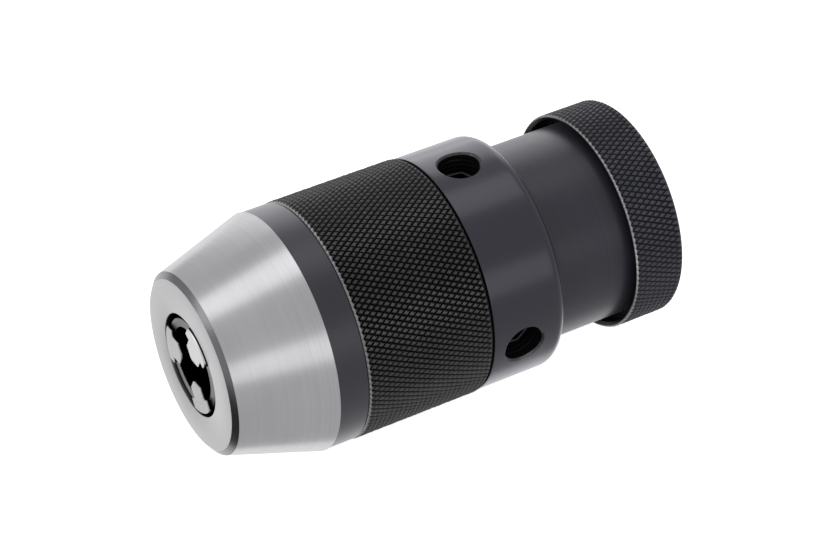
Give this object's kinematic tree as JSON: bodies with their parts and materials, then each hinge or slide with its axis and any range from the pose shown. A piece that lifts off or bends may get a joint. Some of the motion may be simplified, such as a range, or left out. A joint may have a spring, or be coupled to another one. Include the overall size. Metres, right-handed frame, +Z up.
{
  "type": "keyless drill chuck",
  "caption": "Keyless drill chuck: bright conical nose with sliding jaws, knurled turning sleeve, smooth rear shell with radial screw holes, knurled hold-back ring and rear taper socket.",
  "frame": {"origin": "centre of the rear face, at the mouth of the taper socket", "axes": "Y is the spindle axis, with the nose towards -Y and the arbor leaving towards +Y; +Z is up with the chuck lying level"},
  "size_m": [0.05, 0.1003, 0.05],
  "materials": {
    "ground_steel": "fine-ground bright steel, turned round the axis",
    "guide_steel": "satin hardened steel",
    "jaw_steel": "ground hardened steel",
    "black_oxide": "satin black oxide on steel",
    "black_oxide_knurl": "black oxide on diamond-knurled steel",
    "black_screw": "black oxide, slightly oily",
    "body_steel": "turned and ground steel",
    "spindle_steel": "turned steel",
    "race_steel": "polished bearing steel",
    "bronze": "turned bronze",
    "seal_rubber": "matte black rubber"
  },
  "bodies": {
    "chuck": {"chuck_body": "body_steel", "rear_ring": "black_oxide_knurl", "ring_pins": "race_steel", "end_washer": "race_steel", "body_race": "race_steel"},
    "shell": {"hood": "ground_steel", "jaw_guide": "guide_steel", "guide_lock_ring": "black_oxide", "knurled_sleeve": "black_oxide_knurl", "rear_shell": "black_oxide", "lock_screws": "black_screw", "shell_race": "race_steel", "journal_bush": "bronze", "dust_seal": "seal_rubber"},
    "spindle": {"drive_spindle": "spindle_steel", "drill_stop": "race_steel"},
    "bearing_cage": {"ball_cage": "bronze", "thrust_balls": "race_steel"},
    "jaw_1": {"jaw_1": "jaw_steel"},
    "jaw_2": {"jaw_2": "jaw_steel"},
    "jaw_3": {"jaw_3": "jaw_steel"}
  },
  "joints": [
    {"name": "sleeve_turn", "type": "hinge", "parent": "chuck", "child": "shell", "pos_m": [0, -0.05, 0], "axis": [0, 1, 0], "range_deg": [-783, 927]},
    {"name": "cage_turn", "type": "hinge", "parent": "chuck", "child": "bearing_cage", "pos_m": [0, -0.0466, 0], "axis": [0, 1, 0], "range_deg": [-391.5, 463.5]},
    {"name": "spindle_slide", "type": "slide", "parent": "shell", "child": "spindle", "axis": [0, 1, 0], "range_m": [-0.0087, 0.0103]},
    {"name": "jaw_1_slide", "type": "slide", "parent": "shell", "child": "jaw_1", "axis": [0.1318, 0.9537, 0.2703], "range_m": [-0.00912, 0.0108]},
    {"name": "jaw_2_slide", "type": "slide", "parent": "shell", "child": "jaw_2", "axis": [0.1682, 0.9537, -0.2493], "range_m": [-0.00912, 0.0108]},
    {"name": "jaw_3_slide", "type": "slide", "parent": "shell", "child": "jaw_3", "axis": [-0.3, 0.9537, -0.021], "range_m": [-0.00912, 0.0108]}
  ],
  "couplings": [
    {"joint": "cage_turn", "follows": "sleeve_turn", "ratio": 0.5},
    {"joint": "spindle_slide", "follows": "sleeve_turn", "m_per_rad": 0.00063662},
    {"joint": "jaw_1_slide", "follows": "sleeve_turn", "m_per_rad": 0.00066751},
    {"joint": "jaw_2_slide", "follows": "sleeve_turn", "m_per_rad": 0.00066751},
    {"joint": "jaw_3_slide", "follows": "sleeve_turn", "m_per_rad": 0.00066751}
  ]
}
